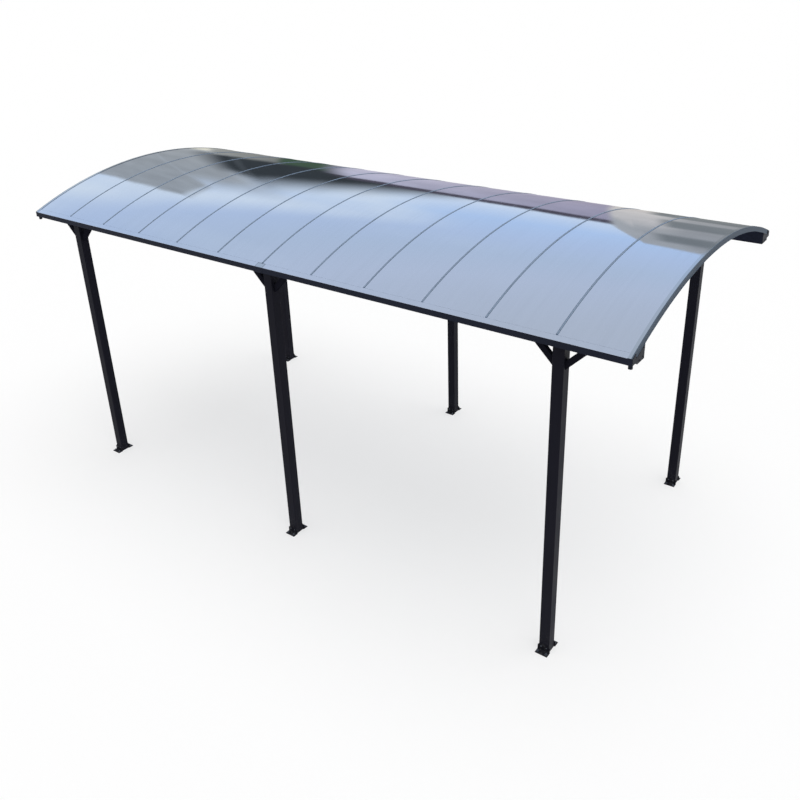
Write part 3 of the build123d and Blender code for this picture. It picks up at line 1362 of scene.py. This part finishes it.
@dataclass
class Studio:
    """Floor, sky, soft sun and tone cards."""

    floor_reach: float = 600.0
    floor_colour: float = 0.40
    floor_lift: float = 0.60
    floor_drop: float = 0.0005
    floor_grain: float = 3.0
    floor_dull_share: float = 0.995
    sky_light: float = 0.52
    sun_light: float = 0.48
    sun_from: Triple = (0.20, 0.05, 1.0)
    sun_spread: float = 1.0
    sun_distance: float = 20.0
    card_row: float = 8.5
    card_step: float = 0.03
    cloud_top: Pair = (0.455, 0.545)
    cloud_side: Pair = (-0.62, -0.50)
    cloud_colour: Colour = (0.88, 0.95, 1.0)
    wisp_grain: float = 0.22
    wisp_from: Pair = (0.35, 0.65)
    wisp_low_share: float = 0.45
    haze_grain: float = 0.35
    haze_from: Pair = (0.52, 0.75)
    haze_share: float = 0.22
    sky_stops: tuple[tuple[float, Colour], ...] = (
        (0.00, (0.97, 0.98, 1.00)),
        (0.20, (0.80, 0.89, 1.00)),
        (0.38, (0.585, 0.745, 0.985)),
        (0.52, (0.605, 0.715, 0.90)),
        (0.62, (0.61, 0.70, 0.83)),
        (0.72, (0.65, 0.705, 0.81)),
        (0.86, (0.63, 0.66, 0.715)),
    )

    def build(self) -> None:
        """Build the whole studio, each card a little nearer than the one before."""
        self.build_floor()
        self.build_sky()
        self.build_sun()
        for number, card in enumerate(CARDS):
            card.build(self.card_row - number * self.card_step)

    def seen(self, graph: Graph) -> Socket:
        """One for rays that show the background: from the camera, mirrored or let through.

        Args:
            graph: The graph that asks.

        Returns:
            The number's socket.
        """
        path = graph.add("LightPath").outputs
        mirrored = graph.math("MAXIMUM", path["Is Glossy Ray"], path["Is Transmission Ray"])
        return graph.math("MAXIMUM", path["Is Camera Ray"], mirrored)

    def build_floor(self) -> None:
        """Build the pale floor."""
        material, graph = new_material("pale_floor")
        cloud = graph.noise(graph.places(), self.floor_grain, detail=3)
        pale = scaled(WHITE, self.floor_colour)
        dull = scaled(WHITE, self.floor_colour * self.floor_dull_share)
        graph.surface(
            Base_Color=graph.blend(cloud, pale, dull),
            Roughness=1.0,
            Specular_IOR_Level=0.0,
            Emission_Color=scaled(WHITE),
            Emission_Strength=graph.math("MULTIPLY", self.seen(graph), self.floor_lift),
        )
        reach = self.floor_reach
        corners = ((-reach, -reach), (reach, -reach), (reach, reach), (-reach, reach))
        mesh = bpy.data.meshes.new("floor")
        mesh.from_pydata([(x, y, -self.floor_drop) for x, y in corners], [], [(0, 1, 2, 3)])
        mesh.materials.append(material)
        placed("floor", mesh)

    def build_sky(self) -> None:
        """Build the sky: plain light for surfaces, a gradient with a cloud bank where it is seen."""
        world = bpy.data.worlds.new("sky")
        world.use_nodes = True
        graph = Graph(world.node_tree)
        towards = graph.add("TexCoord").outputs["Generated"]
        parts = graph.add("SeparateXYZ", {0: towards}).outputs
        ramp = graph.add("ValToRGB", {"Fac": parts["Z"]})
        stops = ramp.color_ramp.elements
        while len(stops) < len(self.sky_stops):
            stops.new(1.0)
        for stop, (place, colour) in zip(stops, self.sky_stops):
            stop.position = place
            stop.color = scaled(colour)
        below = graph.span(parts["Z"], *self.cloud_top, 1.0, 0.0, soft=True)
        aside = graph.span(parts["X"], *self.cloud_side, 1.0, 0.0, soft=True)
        bank = graph.math("MULTIPLY", below, aside)
        wisps = graph.noise(towards, self.wisp_grain, detail=5)
        wisps = graph.span(wisps, *self.wisp_from, self.wisp_low_share, 1.0)
        haze = graph.noise(towards, self.haze_grain, detail=4)
        haze = graph.span(haze, *self.haze_from, 0.0, self.haze_share)
        cover = graph.math("MAXIMUM", graph.math("MULTIPLY", bank, wisps), haze)
        sky = graph.blend(cover, ramp.outputs["Color"], scaled(self.cloud_colour))
        plain = graph.add("Background", {"Strength": self.sky_light, "Color": scaled(WHITE)})
        shown = graph.add("Background", {"Color": sky, "Strength": 1.0})
        both = graph.add(
            "MixShader", {0: self.seen(graph), 1: plain.outputs[0], 2: shown.outputs[0]}
        )
        graph.add("OutputWorld", {"Surface": both.outputs[0]})
        bpy.context.scene.world = world

    def build_sun(self) -> None:
        """Build the soft sun, sized so that it gives a level floor its share of the light."""
        lamp = bpy.data.lights.new("soft_sun", "SUN")
        towards = Vector(self.sun_from).normalized()
        lamp.energy = self.sun_light * math.pi / towards.z
        lamp.angle = self.sun_spread
        sun = placed("soft_sun", lamp)
        sun.matrix_world = facing(towards * self.sun_distance, towards)
        sun.visible_glossy = False


@dataclass(frozen=True)
class PhotoCamera:
    """The camera at the photograph's place, as fitted to the posts, ribs and arch."""

    place: Triple = (5.5769, -6.9131, 5.7612)
    pitch: float = 0.4257
    yaw: float = -0.6496
    roll: float = -0.0361
    focal_pixels: float = 848.0
    image_pixels: float = 800.0
    centre_row: float = 335.0
    sensor: float = 36.0
    far: float = 2000.0

    def build(self) -> None:
        """Build the camera and make it the scene's own."""
        ahead = Vector(
            (
                math.sin(self.yaw) * math.cos(self.pitch),
                math.cos(self.yaw) * math.cos(self.pitch),
                -math.sin(self.pitch),
            )
        )
        level = Vector((math.cos(self.yaw), -math.sin(self.yaw), 0.0))
        tilt = Matrix.Rotation(self.roll, 3, ahead * -1)
        right, up = tilt @ level, tilt @ level.cross(ahead)
        lens = bpy.data.cameras.new("photo_camera")
        lens.sensor_fit = "HORIZONTAL"
        lens.sensor_width = self.sensor
        lens.lens = self.sensor * self.focal_pixels / self.image_pixels
        lens.shift_y = (self.centre_row - self.image_pixels / 2) / self.image_pixels
        lens.clip_end = self.far
        camera = placed("photo_camera", lens)
        turn = Matrix((right, up, -ahead)).transposed().to_4x4()
        camera.matrix_world = Matrix.Translation(self.place) @ turn
        bpy.context.scene.camera = camera
        bpy.context.scene.view_settings.view_transform = "Standard"


def main() -> None:
    """Build the carport's dress, the studio and the camera."""
    logging.basicConfig(level=logging.INFO, format="%(name)s: %(message)s")
    finishes = Finishes.made()
    CadDress(finishes).dress()
    arch = Arch.under_sheet(PLAIN_SHEET, SHEET_THICKNESS)
    sheets = RoofSheets(finishes, arch, SHEET_THICKNESS)
    sheets.build()
    RibSeals(finishes, arch, sheets).build()
    GutterTrim(finishes, arch, SHEET_THICKNESS).build()
    FootFixings(finishes).build()
    BraceScrews(finishes).build()
    Studio().build()
    PhotoCamera().build()


if __name__ == "__main__":
    main()
